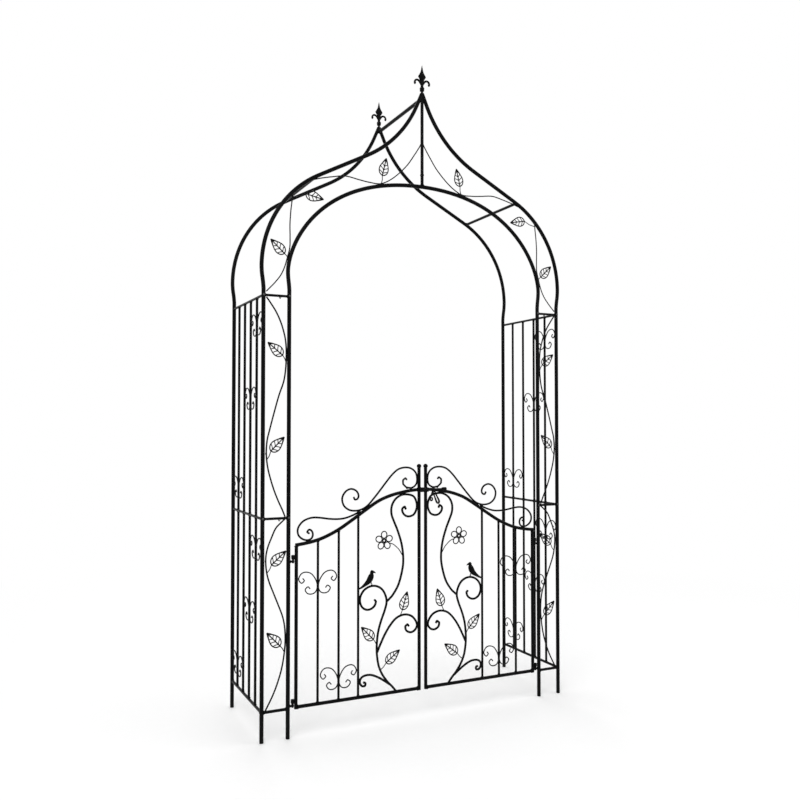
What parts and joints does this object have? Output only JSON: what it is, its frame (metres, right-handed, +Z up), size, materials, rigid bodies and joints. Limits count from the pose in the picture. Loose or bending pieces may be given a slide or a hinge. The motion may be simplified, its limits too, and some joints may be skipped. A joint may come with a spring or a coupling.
{
  "type": "garden arch with gate",
  "caption": "Tubular steel garden arch with an ogee top, side grilles, vine ornament and a pair of low scrolled gates closed by a sliding bolt.",
  "frame": {"origin": "middle of the plan at the level of the feet", "axes": "+X to the right seen from the gate side, +Y from the gate side to the back, +Z up"},
  "size_m": [1.212, 0.4138, 2.3555],
  "materials": {
    "frame_steel": "satin black powder coat",
    "ornament_steel": "satin black powder coat",
    "finial_iron": "satin black paint on a casting",
    "latch_steel": "satin black powder coat, slightly worn"
  },
  "bodies": {
    "frame": {"lower_leg_front_left_outer": "frame_steel", "upper_leg_front_left_outer": "frame_steel", "lower_leg_front_left_inner": "frame_steel", "upper_leg_front_left_inner": "frame_steel", "lower_leg_front_right_inner": "frame_steel", "upper_leg_front_right_inner": "frame_steel", "lower_leg_front_right_outer": "frame_steel", "upper_leg_front_right_outer": "frame_steel", "front_arch_left": "frame_steel", "front_arch_right": "frame_steel", "inner_arch": "frame_steel", "king_post": "frame_steel", "vine_panel_lower_left": "ornament_steel", "vine_panel_lower_right": "ornament_steel", "vine_panel_upper_left": "ornament_steel", "vine_panel_upper_right": "ornament_steel", "arch_vine_lower_left": "ornament_steel", "arch_vine_lower_right": "ornament_steel", "arch_vine_upper_left": "ornament_steel", "arch_vine_upper_right": "ornament_steel", "finial_front": "finial_iron", "hinge_pin_lower_left": "frame_steel", "hinge_pin_lower_right": "frame_steel", "hinge_pin_upper_left": "frame_steel", "hinge_pin_upper_right": "frame_steel", "lower_leg_back_left": "frame_steel", "upper_leg_back_left": "frame_steel", "lower_leg_back_right": "frame_steel", "upper_leg_back_right": "frame_steel", "back_arch_left": "frame_steel", "back_arch_right": "frame_steel", "finial_back": "finial_iron", "ridge_bar": "frame_steel", "haunch_bar_left": "frame_steel", "haunch_bar_right": "frame_steel", "side_grille_lower_left": "frame_steel", "side_grille_upper_left": "frame_steel", "side_grille_lower_right": "frame_steel", "side_grille_upper_right": "frame_steel"},
    "left_gate": {"left_gate_hinge_stile": "frame_steel", "left_gate_meeting_stile": "frame_steel", "left_gate_bottom_rail": "frame_steel", "left_gate_top_rail": "frame_steel", "left_gate_bar_outer": "frame_steel", "left_gate_bar_middle": "frame_steel", "left_gate_bar_inner": "frame_steel", "left_gate_crest": "ornament_steel", "left_gate_vine": "ornament_steel", "latch_keeper": "latch_steel"},
    "right_gate": {"right_gate_hinge_stile": "frame_steel", "right_gate_meeting_stile": "frame_steel", "right_gate_bottom_rail": "frame_steel", "right_gate_top_rail": "frame_steel", "right_gate_bar_outer": "frame_steel", "right_gate_bar_middle": "frame_steel", "right_gate_bar_inner": "frame_steel", "right_gate_crest": "ornament_steel", "right_gate_vine": "ornament_steel", "latch_guide": "latch_steel"},
    "latch_bolt": {"latch_bolt": "latch_steel"}
  },
  "joints": [
    {"name": "left_gate_swing", "type": "hinge", "parent": "frame", "child": "left_gate", "pos_m": [-0.486, -0.19225, 0], "axis": [0, 0, 1], "range_deg": [-95, 95]},
    {"name": "right_gate_swing", "type": "hinge", "parent": "frame", "child": "right_gate", "pos_m": [0.486, -0.19225, 0], "axis": [0, 0, 1], "range_deg": [-95, 95]},
    {"name": "latch_slide", "type": "slide", "parent": "right_gate", "child": "latch_bolt", "axis": [-1, 0, 0], "range_m": [0, 0.015]}
  ]
}
